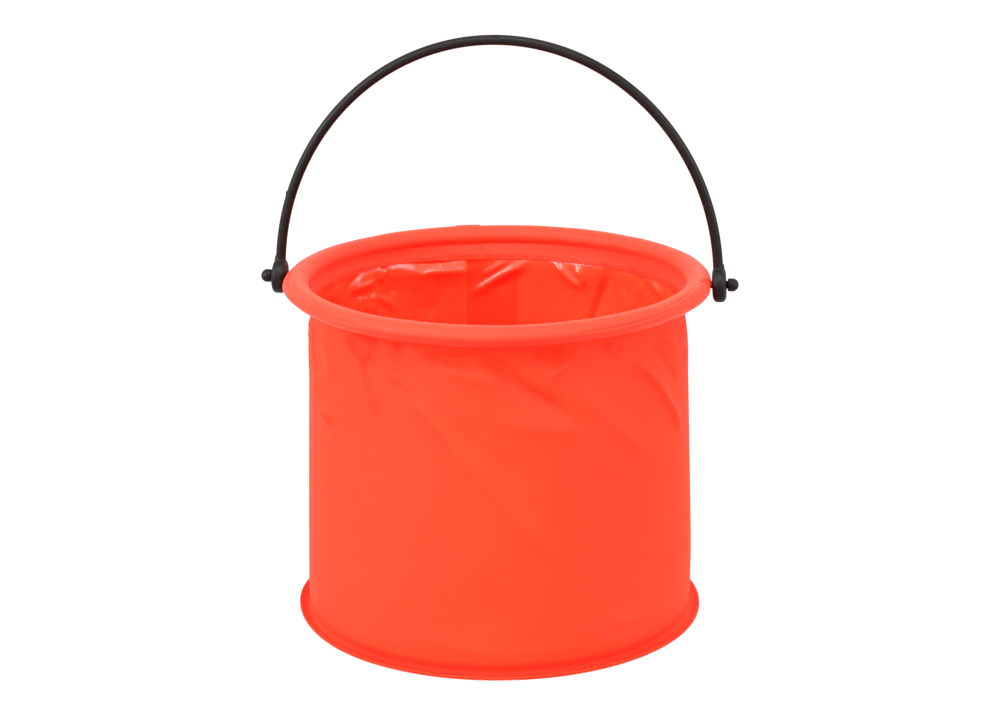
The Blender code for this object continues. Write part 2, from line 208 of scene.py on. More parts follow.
BACK_FOLDS = [
    # the wall sags inwards below the hem, left of the seam, and leans out above it
    ([(129, 192.5), (118, 191), (104, 189)], -1.9, 4.1, 1.0),
    ([(128, 198), (118, 198), (107, 198)], 1.2, 3.0, 1.0),
    ([(111.5, 188), (115.4, 170), (121, 156)], 0.8, 3.6, 1.8),
    # right of the seam: two ridges that run up to the right
    ([(106, 171), (101, 178), (95.4, 186), (85, 197)], -2.1, 4.2, 0.55),
    ([(102, 185), (98, 190), (93, 196)], -1.3, 1.6, 1.0),
    ([(99, 175), (92, 182), (84, 190)], 0.8, 3.8, 1.0),
    # a V whose arms meet below, with a dark fold to its right
    ([(77, 197), (72, 187), (66.5, 178)], -2.6, 2.6, 0.8),
    ([(69, 194.5), (67.2, 188), (66.3, 181)], -2.0, 1.8, 1.2),
    ([(57, 195), (61, 178), (67, 140)], 2.2, 4.0, 0.6),
    ([(52, 186), (50, 174), (51, 160)], -1.2, 5.0, 1.0),
    ([(44, 198), (40, 190), (34, 183)], 0.8, 4.4, 1.0),
    ([(36, 196), (28, 188)], -1.2, 3.0, 1.0),
    # left: a round boss, a hooked kink, and an arc that dies out by the handle
    ([(146, 176), (138, 171)], -1.6, 6.0, 1.0),
    ([(147, 180), (139, 179), (133, 172), (129, 161)], -1.2, 2.6, 0.8),
    ([(139, 189), (137.5, 194), (136, 200)], -1.6, 2.8, 0.7),
    ([(151, 188), (145, 189.5), (139, 191)], -1.3, 2.4, 1.0),
    ([(155, 186), (152, 194), (146, 198)], 1.3, 2.6, 1.0),
    ([(152, 184), (144, 183)], 1.6, 4.0, 1.0),
    ([(131, 190), (133, 178)], 1.1, 3.6, 1.0),
    ([(90, 192), (89.5, 172), (89, 150)], 0.9, 4.2, 0.5),
    ([(163, 196), (160, 187), (155, 176)], -1.1, 3.0, 1.0),
    ([(20, 196), (23, 184), (21, 170)], -0.9, 3.2, 1.0),
]
RIM_FOLDS = [
    # lines along the rolled hem, as (degrees, mm round its section from its hidden inner end)
    ([(187, 22.0), (200, 20.4), (214, 18.4), (232, 16.6), (248, 15.6)], -1.0, 0.9, 1.0),
    ([(186, 18.6), (198, 17.6), (212, 15.8), (230, 14.2), (244, 13.2)], -1.0, 0.8, 1.0),
    ([(190, 15.4), (204, 14.2), (218, 13.0), (236, 12.0)], -0.9, 0.8, 1.0),
    ([(205, 19.4), (220, 17.6), (236, 16.0)], 0.5, 1.0, 1.0),
    ([(236, 11.6), (250, 11.0), (264, 10.6)], -0.7, 0.8, 1.0),
    ([(296, 13.6), (314, 14.6), (330, 16.6), (346, 20.2)], -1.0, 0.9, 1.0),
    ([(302, 11.4), (320, 12.4), (336, 14.6), (350, 18.2)], -0.9, 0.8, 1.0),
    ([(312, 15.4), (328, 17.0), (344, 20.6)], 0.5, 1.0, 1.0),
    ([(326, 18.6), (338, 20.4), (350, 23.0)], -0.8, 0.9, 1.0),
    ([(352, 23.0), (355, 17.0), (357, 10.0)], -1.3, 1.3, 1.0),
    ([(356, 23.0), (358.5, 17.0), (359.5, 11.0)], 0.8, 1.2, 1.0),
    ([(264.0, 5.0), (266.6, 7.4), (269.2, 5.0)], 1.0, 0.8, 1.0),
    ([(8, 21.0), (3, 16.5), (1, 11.0)], -0.7, 1.2, 1.0),
    ([(172, 21.0), (177, 16.0), (179, 10.0)], -0.6, 1.2, 1.0),
]

# The studio: an even sky, a table lit from below, and large lamps (name, place, size, watts)
SKY, TABLE_GLOW, TABLE_GREY, TABLE_DROP, TABLE_SIZE = 1.3, 1.02, 0.05, 0.0002, 6.0
LAMPS = [("left", (-1.6, -1.1, 1.0), 0.9, 70.0), ("right", (1.6, -0.6, 0.9), 1.0, 30.0),
         ("high", (0.0, -1.0, 1.9), 0.9, 42.0)]
LAMP_AIM = (0, 0, 0.15)
CAMERA_LENS, CAMERA_SENSOR = 85.96, 36.0
CAMERA_PLACE, CAMERA_AIM = (0.15433, -1.42059, 0.58354), (0.00117, 0.00013, 0.16494)
CAMERA_UP = (-0.02337, 0.28023, 0.95965)


def smooth(x):
    """0 below 0, 1 above 1, and a smooth step between."""
    x = np.clip(x, 0.0, 1.0)
    return x * x * (3 - 2 * x)


def fold(across, along, points, height, width, lean, metres_per_degree):
    """Height field of one rounded crease that follows a line of points and fades at both ends."""
    line = np.array([(a * metres_per_degree * 1000, b) for a, b in points])
    lengths = np.hypot(*(line[1:] - line[:-1]).T)
    total, before = lengths.sum(), 0.0
    nearest = np.full(across.shape, 1e9)
    side, place = np.zeros(across.shape), np.zeros(across.shape)
    for (x0, y0), (x1, y1), length in zip(line[:-1], line[1:], lengths):
        dx, dy = (x1 - x0) / length, (y1 - y0) / length
        t = np.clip((across - x0) * dx + (along - y0) * dy, 0, length)
        px, py = across - x0 - t * dx, along - y0 - t * dy
        distance = np.hypot(px, py)
        closer = distance < nearest
        nearest = np.where(closer, distance, nearest)
        side = np.where(closer, np.sign(px), side)
        place = np.where(closer, (before + t) / total, place)
        before += length
    wide = np.where(side > 0, width * lean, width)
    fade = smooth(place / FOLD_FADE) * smooth((1 - place) / FOLD_FADE)
    return height * (FOLD_END + (1 - FOLD_END) * fade) * (1 + (nearest / wide) ** 2) ** -1.5


def softened(field, passes):
    """The field with its sharpest corners rounded off, closed round the bucket."""
    for _ in range(passes):
        field = (np.roll(field, 1, 1) + 2 * field + np.roll(field, -1, 1)) / 4
        field[1:-1] = (field[:-2] + 2 * field[1:-1] + field[2:]) / 4
    return field


def loose_folds():
    """Small folds under the rim and above the base, where nothing else marks the wall."""
    dice = random.Random(LOOSE_SEED)
    made = []
    for low, high, count in LOOSE_PLACES:
        for _ in range(count):
            start, drift = dice.uniform(low, high), dice.uniform(-9, 9)
            top, fall = dice.uniform(188, 202), dice.uniform(14, 42)
            line = [(start, top), (start + drift * 0.6, top - fall / 2), (start + drift, top - fall)]
            made.append((line, dice.choice((-1, 1)) * dice.uniform(0.4, 0.9),
                         dice.uniform(2.4, 4.5), dice.uniform(0.8, 1.3)))
    for i in range(FOOT_FOLDS):
        start = i * 360 // FOOT_FOLDS + dice.uniform(-6, 6)
        line = [(start, dice.uniform(13, 18)), (start + dice.uniform(5, 9), dice.uniform(20, 34))]
        made.append((line, dice.choice((-1, 1)) * dice.uniform(0.12, 0.3), 4.0, 1.0))
    return made


def held(height):
    """How free the wall is to fold: 0 in the hem and at the foot, 1 between them."""
    from_top = smooth((WALL_TOP - HELD_TOP[0] - height) / HELD_TOP[1])
    return from_top * smooth((height - HELD_FOOT[0]) / HELD_FOOT[1])


def wall_relief(degrees, height):
    """How far the wall stands out of its plain cone, in metres, at each place given."""
    metres_per_degree = math.radians(1) * WALL_FOOT_RADIUS
    across, along = degrees * metres_per_degree * 1000, height * 1000
    turn = 360 * metres_per_degree * 1000
    field = np.zeros(degrees.shape)
    for folds, gain in zip((FRONT_FOLDS, BACK_FOLDS, loose_folds()), FOLD_GAINS):
        for points, tall, width, lean in folds:
            middle = points[len(points) // 2][0] * metres_per_degree * 1000
            here = middle + (across - middle + turn / 2) % turn - turn / 2
            field += gain * fold(here, along, points, tall, width, lean, metres_per_degree)
    radians = np.radians(degrees)
    belly = smooth(height / SWELL_FADE) * smooth((WALL_TOP - height) / SWELL_FADE)
    for waves, size, phase, climb in WALL_SWELL:
        field += belly * size * np.sin(waves * radians + phase + climb * height)
    start, crest, end = SEAM_STEP
    seam = (smooth((degrees - start) / (crest - start)) * smooth((end - degrees) / (end - crest))
            * smooth((WALL_TOP - SEAM_TOP - height) / SEAM_EASE) * SEAM_RISE)
    return (field + seam) * held(height) / 1000


def lip_rise(degrees, radius):
    """How far the lip stands off the floor on the side where it is bent up."""
    middle, half_width, tall = LIP_RISE
    out = np.clip((radius - LIP_ROOT) / (LIP_RADIUS - LIP_ROOT), 0, 1)
    return tall * np.exp(-((degrees - middle) / half_width) ** 2) * out ** RISE_POWER


def wall_outline():
    """(radius, height) down the wall's outside, from the rim to the lip's edge."""
    share = np.linspace(0, 1, WALL_ROWS)[:-1]
    share = (1 - ROW_CROWDING) * share + ROW_CROWDING * share ** 2
    heights = WALL_TOP - (WALL_TOP - FOOT_TOP) * share
    radii = WALL_TOP_RADIUS + (WALL_FOOT_RADIUS - WALL_TOP_RADIUS) * share
    turn = np.linspace(0, 1, FOOT_ROWS)
    foot = np.array([(WALL_FOOT_RADIUS, FOOT_TOP)] + FOOT_PROFILE)
    place = np.linspace(0, 1, len(foot))
    foot = np.stack([np.interp(turn, place, foot[:, 0]), np.interp(turn, place, foot[:, 1])], 1)
    for _ in range(FOOT_PASSES):
        foot[1:-1] = (foot[:-2] + 2 * foot[1:-1] + foot[2:]) / 4
    return np.concatenate([np.stack([radii, heights], 1), foot])


def walked(outline):
    """Distance along an outline, up to each of its points."""
    return np.concatenate([[0], np.cumsum(np.linalg.norm(np.diff(outline, axis=0), axis=1))])


def outward(outline):
    """Unit vectors square to an outline, pointing to its left as seen along it going down."""
    along = np.gradient(outline, axis=0)
    along /= np.linalg.norm(along, axis=1)[:, None]
    return np.stack([-along[:, 1], along[:, 0]], 1)


def grid_points(outline, relief, degrees):
    """An outline turned about the bucket's axis, each point moved out by its relief."""
    square = outward(outline)
    radius = outline[:, 0, None] + square[:, 0, None] * relief
    height = outline[:, 1, None] + square[:, 1, None] * relief
    angle = np.radians(degrees)[None, :]
    return np.stack([radius * np.cos(angle), radius * np.sin(angle),
                     height + 0 * angle], 2)


def cloth_sheet(name, points, outline, degrees, closed, flip=False):
    """A grid of points as a mesh, with a UV map in metres of cloth."""
    rows, columns = points.shape[:2]
    mesh = bpy.data.meshes.new(name)
    spans = columns if closed else columns - 1
    faces, corners = [], []
    down = walked(outline)
    round_step = math.radians(degrees[1] - degrees[0]) * RIM_RADIUS
    for r in range(rows - 1):
        for c in range(spans):
            square = [(r, c), (r + 1, c), (r + 1, c + 1), (r, c + 1)]
            if flip:
                square.reverse()
            faces.append([i * columns + j % columns for i, j in square])
            corners += [(j * round_step, down[i]) for i, j in square]
    mesh.from_pydata(points.reshape(-1, 3).tolist(), [], faces)
    layer = mesh.uv_layers.new(name="cloth")
    layer.data.foreach_set("uv", np.array(corners, np.float32).ravel())
    mesh.shade_smooth()
    made = bpy.data.objects.new(name, mesh)
    bpy.context.scene.collection.objects.link(made)
    return made


def thicken(made, thickness, offset, inner_material=0):
    solidify = made.modifiers.new("Thickness", "SOLIDIFY")
    solidify.thickness = thickness
    solidify.offset = offset
    solidify.material_offset = inner_material


def follow_fold(made):
    """Gives a piece of the wall its own copy of its mesh."""
    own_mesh(made)


def make_wall(outline, outer, inner):
    degrees = np.arange(COLUMNS) * STEP_DEGREES
    wide, tall = np.meshgrid(degrees, outline[:, 1])
    neck = np.interp(tall, *zip(*NECK_PROFILE)) / 1000
    behind = smooth((wide - BACK_FIRST) / BACK_EASE) * smooth((BACK_LAST - wide) / BACK_EASE)
    neck += behind * np.interp(tall, *zip(*BACK_PROFILE)) / 1000
    relief = softened(wall_relief(wide, tall) + neck, 2)
    metres_per_degree = math.radians(1) * WALL_FOOT_RADIUS
    relief += fold(wide * metres_per_degree * 1000, tall * 1000, *SEAM_BEAD,
                   metres_per_degree) * held(tall) / 1000
    points = grid_points(outline, relief, degrees)
    points[..., 2] += lip_rise(wide, outline[:, 0, None]) * smooth((LIP_TURN - tall) / LIP_TURN_EASE)
    made = cloth_sheet("wall", points, outline, degrees, True)
    made.data.materials.append(outer)
    made.data.materials.append(inner)
    thicken(made, CLOTH, -1, 1)
    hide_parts("wall_panel")
    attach(made, "base")
    follow_fold(made)
    return relief


def make_tape(outline, relief, inner):
    """The strip welded over the seam, on the wall's inside, following every fold of it."""
    rows = np.flatnonzero((outline[:, 1] > TAPE_LOW + TAPE_RISE) & (outline[:, 1] < TAIL_FOOT))
    degrees = np.arange(TAPE_FIRST, TAPE_LAST + 1) * STEP_DEGREES
    inside = relief[np.ix_(rows, range(TAPE_FIRST, TAPE_LAST + 1))] - CLOTH - TAPE_THICKNESS
    path = outline[rows]
    made = cloth_sheet("seam_tape", grid_points(path, inside, degrees), path, degrees, False)
    made.data.materials.append(inner)
    thicken(made, TAPE_THICKNESS, -1)
    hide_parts("wall_seam_tape")
    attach(made, "base")
    follow_fold(made)


def hem_outline():
    """(radius, height) round the rolled hem and down its inner tail, and where the tail begins."""
    turn = np.radians(np.linspace(ROLL_START, ROLL_END, ROLL_ROWS))
    roll = np.stack([RIM_RADIUS + HEM_HALF_WIDTH * np.cos(turn),
                     PIVOT.z + HEM_HALF_HEIGHT * np.sin(turn)], 1)
    low, high = np.radians(HEM_FLAT)
    flat = [RIM_RADIUS + HEM_HALF_WIDTH * np.cos([low, high]),
            PIVOT.z + HEM_HALF_HEIGHT * np.sin([low, high])]
    part = np.clip((turn - low) / (high - low), 0, 1)
    chord = np.stack([np.interp(part, [0, 1], flat[0]), np.interp(part, [0, 1], flat[1])], 1)
    drawn = HEM_FLATNESS * ((turn > low) & (turn < high))[:, None]
    roll = roll * (1 - drawn) + chord * drawn
    radii, heights = np.array(TAIL_PROFILE).T
    drop = np.linspace(heights[0], heights[-1], TAIL_ROWS)
    tail = np.stack([np.interp(-drop, -heights, radii), drop], 1)
    return np.concatenate([roll, tail]), len(roll)


def roll_relief(wide, along):
    """How far the rolled hem stands out of its section, in metres, at each place given."""
    metres_per_degree = math.radians(1) * RIM_RADIUS
    relief = np.zeros(wide.shape)
    for points, tall, width, lean in RIM_FOLDS:
        relief += fold(wide * metres_per_degree * 1000, along, points, RIM_GAIN * tall, width, lean,
                       metres_per_degree)
    radians = np.radians(wide)
    for waves, size, phase, climb in HEM_SWELL:
        relief += size * np.sin(waves * radians + phase + climb * along)
    reach = np.minimum(along / 1000 / HEM_SECTION_RADIUS, OUTER_REACH)
    outer_side = smooth(np.cos(np.radians(ROLL_START) + reach))
    for middle, half_width, tall in RIM_BULGES:
        relief += outer_side * tall * np.exp(-((wide - middle) / half_width) ** 2)
    lap = smooth((wide - HEM_LAP[0]) / LAP_EASE) * smooth((HEM_LAP[1] - wide) / LAP_EASE)
    return (softened(relief, 1) + LAP_RISE * lap) / 1000


def hem_points(outline, tail_row, degrees):
    """The hem's places: the roll with its creases, and a tail that lies on the wall's folds."""
    wide, along = np.meshgrid(degrees, walked(outline) * 1000)
    relief = roll_relief(wide, along)
    sag = wall_relief(*np.meshgrid(degrees, outline[:, 1]))
    low = held(outline[:, 1])[:, None]
    in_tail = np.arange(len(outline))[:, None] >= tail_row
    tail_relief = relief * (1 - TAIL_CALM * low) - np.minimum(sag, TAIL_PUSH)
    relief = np.where(in_tail, tail_relief, relief)
    radians = np.radians(wide)
    for waves, size, phase, climb in TAIL_PUCKERS:
        relief += in_tail * low * size / 1000 * np.sin(waves * radians + phase + climb * along / 20)
    points = grid_points(outline, -relief, degrees)
    middle, half_width, lift = TAIL_LIFT
    drop = np.clip((outline[tail_row, 1] - outline[:, 1]) / (outline[tail_row, 1] - TAIL_FOOT), 0, 1)
    lifted = (np.arange(len(outline)) >= tail_row) * drop
    points[..., 2] += lift * lifted[:, None] * np.exp(-((degrees - middle) / half_width) ** 2)
    points[..., 2] -= RIM_SAG * np.sin(np.radians(degrees)) ** 2
    return points


def make_hem(hem_cloth, lining):
    outline, tail_row = hem_outline()
    degrees = np.arange(COLUMNS) * STEP_DEGREES
    points = hem_points(outline, tail_row, degrees)
    made = cloth_sheet("hem", points, outline, degrees, True, True)
    made.data.materials.append(hem_cloth)
    made.data.materials.append(lining)
    for polygon in made.data.polygons:
        polygon.material_index = int(polygon.index // COLUMNS >= tail_row)
    thicken(made, CLOTH, -1)
    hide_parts("rim_sleeve")
    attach(made, "rim")


def make_base(outer, inner):
    """The round floor: flat under the lip's weld, a little uneven inside it."""
    radii = np.concatenate([np.linspace(LIP_RADIUS, WELD_INNER, LIP_RINGS),
                            np.linspace(FLOOR_EDGE, FLOOR_MIDDLE, FLOOR_RINGS)])
    outline = np.stack([radii, np.full(len(radii), CLOTH)], 1)
    degrees = np.arange(COLUMNS) * STEP_DEGREES
    wide, far = np.meshgrid(np.radians(degrees), radii)
    uneven = np.zeros(wide.shape)
    for waves, size, phase, climb in FLOOR_SWELL:
        uneven += size * (0.5 + 0.5 * np.sin(waves * wide + phase + climb * far))
    uneven *= smooth((SWELL_EDGE - far) / SWELL_RUN) * smooth(far / SWELL_MIDDLE) / 1000
    curl = LIP_CURL * np.clip((far - LIP_BEND) / (LIP_RADIUS - LIP_BEND), 0, 1) ** CURL_POWER
    points = np.stack([far * np.cos(wide), far * np.sin(wide), CLOTH + uneven + curl], 2)
    points[..., 2] += lip_rise(np.degrees(wide), far)
    made = cloth_sheet("base", points, outline, degrees, True, True)
    shape = bmesh.new()
    shape.from_mesh(made.data)
    rim = [e for e in shape.edges if e.is_boundary and e.verts[0].co.xy.length < 0.005]
    bmesh.ops.edgeloop_fill(shape, edges=rim)
    bmesh.ops.recalc_face_normals(shape, faces=shape.faces)
    if shape.faces[0].normal.z < 0:
        bmesh.ops.reverse_faces(shape, faces=shape.faces)
    shape.to_mesh(made.data)
    shape.free()
    made.data.materials.append(inner)
    made.data.materials.append(outer)
    thicken(made, CLOTH, -1, 1)
    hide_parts("base_panel")
    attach(made, "base")


def primitive(name, build, matrix):
    """A bmesh shape in its own object, placed by a matrix."""
    mesh = bpy.data.meshes.new(name)
    shape = bmesh.new()
    build(shape)
    bmesh.ops.transform(shape, verts=shape.verts, matrix=matrix)
    shape.to_mesh(mesh)
    shape.free()
    made = bpy.data.objects.new(name, mesh)
    bpy.context.scene.collection.objects.link(made)
    return made


def cone(radius_low, radius_high, length, segments=ROUND_SIDES):
    return lambda shape: bmesh.ops.create_cone(shape, cap_ends=True, segments=segments,
                                               radius1=radius_low, radius2=radius_high,
                                               depth=length)


def rounded_disc(shape):
    """The eye boss: a thick disc that rounds off from its faces to its edge."""
    for face in (-1, 1):
        for ease in np.linspace(0, math.pi / 2, BOSS_RINGS):
            level = face * (BOSS_THICKNESS / 2 - BOSS_EASE_WIDE * (1 - math.sin(ease)))
            reach = BOSS_RADIUS - BOSS_EASE_DEEP * (1 - math.cos(ease))
            for turn in np.linspace(0, 2 * math.pi, ROUND_SIDES, endpoint=False):
                shape.verts.new((reach * math.cos(turn), reach * math.sin(turn), level))
    bmesh.ops.convex_hull(shape, input=shape.verts[:])


def bar(shape):
    """The bail's round bar: two short legs and half an ellipse between them."""
    turns = np.linspace(0, math.pi, BAR_RINGS)
    centres = [(BAIL_HALF_SPAN * math.cos(a), PIVOT.z + BAIL_LEG + BAIL_RISE * math.sin(a))
               for a in turns]
    centres = [(BAIL_HALF_SPAN, PIVOT.z)] + centres + [(-BAIL_HALF_SPAN, PIVOT.z)]
    line = np.array(centres)
    along = np.gradient(line, axis=0)
    along /= np.linalg.norm(along, axis=1)[:, None]
    rings = []
    for (x, z), (dx, dz) in zip(line, along):
        ring = []
        for i in range(BAR_SIDES):
            a = 2 * math.pi * i / BAR_SIDES
            across, level = BAR_RADIUS * math.cos(a), BAR_RADIUS * math.sin(a)
            ring.append(shape.verts.new((x - dz * across, level, z + dx * across)))
        rings.append(ring)
    for one, two in zip(rings[:-1], rings[1:]):
        for i in range(BAR_SIDES):
            j = (i + 1) % BAR_SIDES
            shape.faces.new((one[i], one[j], two[j], two[i]))
    shape.faces.new(rings[0][::-1])
    shape.faces.new(rings[-1])
    bmesh.ops.recalc_face_normals(shape, faces=shape.faces)


def combine(target, other, operation):
    """Adds another object's shape to the target, or takes it away, and removes that object."""
    boolean = target.modifiers.new("Combine", "BOOLEAN")
    boolean.operation = operation
    boolean.object = other
    bpy.context.view_layer.update()
    evaluated = target.evaluated_get(bpy.context.evaluated_depsgraph_get())
    mesh = bpy.data.meshes.new_from_object(evaluated)
    target.modifiers.clear()
    target.data = mesh
    bpy.data.objects.remove(other, do_unlink=True)


def make_handle(plastic):
    """The bail with its bosses, melted into one moulded shape."""
    made = primitive("bail", bar, Matrix.Identity(4))
    for side in (-1, 1):
        lie = Matrix.Rotation(math.pi / 2 - side * BOSS_SPLAY, 4, "Y")
        middle = side * (BOSS_INNER + BOSS_THICKNESS / 2)
        eye = Matrix.Translation((middle, 0, PIVOT.z))
        combine(made, primitive("boss", rounded_disc, eye @ lie), "UNION")
        rise = PIVOT.z + (NECK_BOTTOM + NECK_TOP) / 2
        neck = cone(NECK_RADIUS, NECK_TOP_RADIUS, NECK_TOP - NECK_BOTTOM)
        place = Matrix.Translation((side * (BAIL_HALF_SPAN + NECK_OUTSET), 0, rise))
        combine(made, primitive("neck", neck, place), "UNION")
        bore = cone(BORE_RADIUS, BORE_RADIUS, 4 * BOSS_THICKNESS)
        combine(made, primitive("bore", bore, eye @ Matrix.Rotation(math.pi / 2, 4, "Y")),
                "DIFFERENCE")
    out = Vector((0, -math.sin(GATE_TILT), math.cos(GATE_TILT)))
    top = Vector((0, 0, PIVOT.z + BAIL_LEG + BAIL_RISE)) + out * BAR_RADIUS
    dimple = Matrix.Translation(top) @ Matrix.Rotation(GATE_TILT, 4, "X")
    combine(made, primitive("gate", cone(GATE_RADIUS, GATE_RADIUS, 2 * GATE_DEPTH), dimple),
            "DIFFERENCE")
    rise = math.asin((NUB_HEIGHT - BAIL_LEG) / BAIL_RISE)
    place = (-BAIL_HALF_SPAN * math.cos(rise) - NUB_OUTSET, 0, PIVOT.z + NUB_HEIGHT)
    ball = primitive("nub", lambda shape: bmesh.ops.create_icosphere(
        shape, subdivisions=3, radius=NUB_RADIUS), Matrix.Translation(place))
    combine(made, ball, "UNION")
    melt = made.modifiers.new("Melt", "REMESH")
    melt.mode = "VOXEL"
    melt.voxel_size = MELT_VOXEL
    melt.use_smooth_shade = True
    ease = made.modifiers.new("Ease", "CORRECTIVE_SMOOTH")
    ease.smooth_type = "LENGTH_WEIGHTED"
    ease.iterations = EASE_PASSES
    ease.use_only_smooth = True
    bpy.context.view_layer.update()
    evaluated = made.evaluated_get(bpy.context.evaluated_depsgraph_get())
    mesh = bpy.data.meshes.new_from_object(evaluated)
    made.modifiers.clear()
    made.data = mesh
    mesh.shade_smooth()
    mesh.materials.clear()
    mesh.materials.append(plastic)
    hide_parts("handle")
    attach(made, "handle")


def make_stud(name, side, plastic):
    """Pin with a round-ended head: its outline turned about the pivots' axis."""
    outline = [(BALL_RADIUS * math.sin(a), BALL_CENTRE + BALL_RADIUS * math.cos(a))
               for a in np.linspace(0, math.pi / 2, 12)]
    outline += [(HEAD_FOOT_RADIUS, HEAD_FOOT + HEAD_EASE), (HEAD_FOOT_RADIUS - HEAD_EASE, HEAD_FOOT),
                (SHANK_RADIUS, HEAD_FOOT), (SHANK_RADIUS, STAKE_START),
                (STAKE_RADIUS, STAKE_END), (0.0, STAKE_END)]
    mesh = bpy.data.meshes.new(name)
    edges = [(i, i + 1) for i in range(len(outline) - 1)]
    mesh.from_pydata([(r, 0, z) for r, z in outline], edges, [])
    made = bpy.data.objects.new(name, mesh)
    bpy.context.scene.collection.objects.link(made)
    mesh.materials.append(plastic)
    made.matrix_world = Matrix.Translation(PIVOT) @ Matrix.Rotation(side * math.pi / 2, 4, "Y")
    screw = made.modifiers.new("Turn", "SCREW")
    screw.steps = screw.render_steps = STUD_SIDES
    screw.use_merge_vertices = True
    screw.merge_threshold = 0.00001
    screw.use_smooth_shade = True
    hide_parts("left_stud" if side < 0 else "right_stud")
    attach(made, "rim")


class Nodes:
    """Short names for building one material's node tree."""

    def __init__(self, name):
        self.material = bpy.data.materials.new(name)
        self.material.use_nodes = True
        self.tree = self.material.node_tree
        self.shader = self.tree.nodes["Principled BSDF"]

    def add(self, kind, **values):
        node = self.tree.nodes.new("ShaderNode" + kind)
        for key, value in values.items():
            if hasattr(node, key):
                setattr(node, key, value)
            else:
                node.inputs[key.replace("_", " ")].default_value = value
        return node

    def join(self, source, target):
        self.tree.links.new(source, target)

    def maths(self, operation, first, second=None):
        node = self.add("Math", operation=operation)
        for socket, value in zip(node.inputs, (first, second)):
            if value is None:
                continue
            if isinstance(value, (int, float)):
                socket.default_value = value
            else:
                self.join(value, socket)
        return node.outputs[0]

    def noise(self, scale, detail=3.0):
        place = self.add("TexCoord")
        made = self.add("TexNoise", Scale=scale, Detail=detail)
        self.join(place.outputs["Object"], made.inputs["Vector"])
        return made.outputs["Fac"]

    def spread(self, value, low, high):
        made = self.add("MapRange")
        made.inputs["From Min"].default_value = 0.3
        made.inputs["From Max"].default_value = 0.7
        made.inputs["To Min"].default_value = low
        made.inputs["To Max"].default_value = high
        self.join(value, made.inputs["Value"])
        return made.outputs["Result"]

    def ramp(self, value, zero, one):
        """A smooth step from 0 where the value is zero's to 1 where it is one's."""
        made = self.add("MapRange", interpolation_type="SMOOTHSTEP")
        made.inputs["From Min"].default_value = zero
        made.inputs["From Max"].default_value = one
        self.join(value, made.inputs["Value"])
        return made.outputs["Result"]

    def tinted(self, colour, shade):
        """The colour multiplied by a grey value, and no brighter than white."""
        made = self.add("VectorMath", operation="SCALE")
        made.inputs[0].default_value = colour
        self.join(shade, made.inputs["Scale"])
        capped = self.add("VectorMath", operation="MINIMUM")
        capped.inputs[1].default_value = (1, 1, 1)
        self.join(made.outputs["Vector"], capped.inputs[0])
        self.join(capped.outputs["Vector"], self.shader.inputs["Base Color"])

    def bump(self, height, distance, strength=1.0):
        made = self.add("Bump")
        made.inputs["Distance"].default_value = distance
        made.inputs["Strength"].default_value = strength
        self.join(height, made.inputs["Height"])
        self.join(made.outputs["Normal"], self.shader.inputs["Normal"])


def weave(nodes, pitch):
    """Plain weave: threads cross over and under each other, one pitch apart."""
    uv = nodes.add("UVMap", uv_map="cloth")
    parts = nodes.add("SeparateXYZ")
    nodes.join(uv.outputs["UV"], parts.inputs["Vector"])
    waves = [nodes.maths("SINE", nodes.maths("MULTIPLY", parts.outputs[axis], 2 * math.pi / pitch))
             for axis in ("X", "Y")]
    return nodes.maths("MULTIPLY", *waves)


def cloth_material(name, colour, roughness, specular, pitch, depth, thread_tint=0.0, sheen=0.0,
                   bands=()):
    """Woven cloth; each band is the spans of its UV map that it covers, and how much darker it is:
    painted shade where positive, painted highlight where negative.
    """
    nodes = Nodes(name)
    large, fine = nodes.noise(CLOTH_NOISE[0]), nodes.noise(CLOTH_NOISE[1], 2.0)
    threads = weave(nodes, pitch)
    shade = nodes.maths("MULTIPLY", nodes.spread(large, 0.95, 1.05),
                        nodes.spread(fine, 0.97, 1.03))
    shade = nodes.maths("MULTIPLY", shade,
                        nodes.maths("ADD", nodes.maths("MULTIPLY", threads, thread_tint), 1.0))
    for spans, darker in bands:
        place, band = nodes.add("SeparateXYZ"), 1.0
        nodes.join(nodes.add("UVMap", uv_map="cloth").outputs["UV"], place.inputs["Vector"])
        for axis, start, full, still, end in spans:
            band = nodes.maths("MULTIPLY", nodes.maths(
                "MULTIPLY", nodes.ramp(place.outputs[axis], start, full),
                nodes.ramp(place.outputs[axis], end, still)), band)
        shade = nodes.maths("MULTIPLY", shade,
                            nodes.maths("SUBTRACT", 1.0, nodes.maths("MULTIPLY", band, darker)))
    nodes.tinted(colour, shade)
    nodes.join(nodes.spread(fine, roughness - 0.04, roughness + 0.04),
               nodes.shader.inputs["Roughness"])
    nodes.shader.inputs["Specular IOR Level"].default_value = specular
    nodes.shader.inputs["Sheen Weight"].default_value = sheen
    nodes.shader.inputs["Sheen Roughness"].default_value = SHEEN_ROUGHNESS
    nodes.shader.inputs["Sheen Tint"].default_value = SHEEN_TINT
    height = nodes.maths("ADD", nodes.maths("MULTIPLY", threads, 0.5),
                         nodes.maths("MULTIPLY", fine, 0.6))
    nodes.bump(height, depth)
    return nodes.material


def plastic_material(name, colour, roughness, specular):
    nodes = Nodes(name)
    large, grain = nodes.noise(PLASTIC_NOISE[0]), nodes.noise(PLASTIC_NOISE[1], 2.0)
    nodes.tinted(colour, nodes.spread(large, 0.8, 1.25))
    nodes.join(nodes.spread(large, roughness - 0.05, roughness + 0.07),
               nodes.shader.inputs["Roughness"])
    nodes.shader.inputs["Specular IOR Level"].default_value = specular
    nodes.bump(grain, PLASTIC_GRAIN)
    return nodes.material


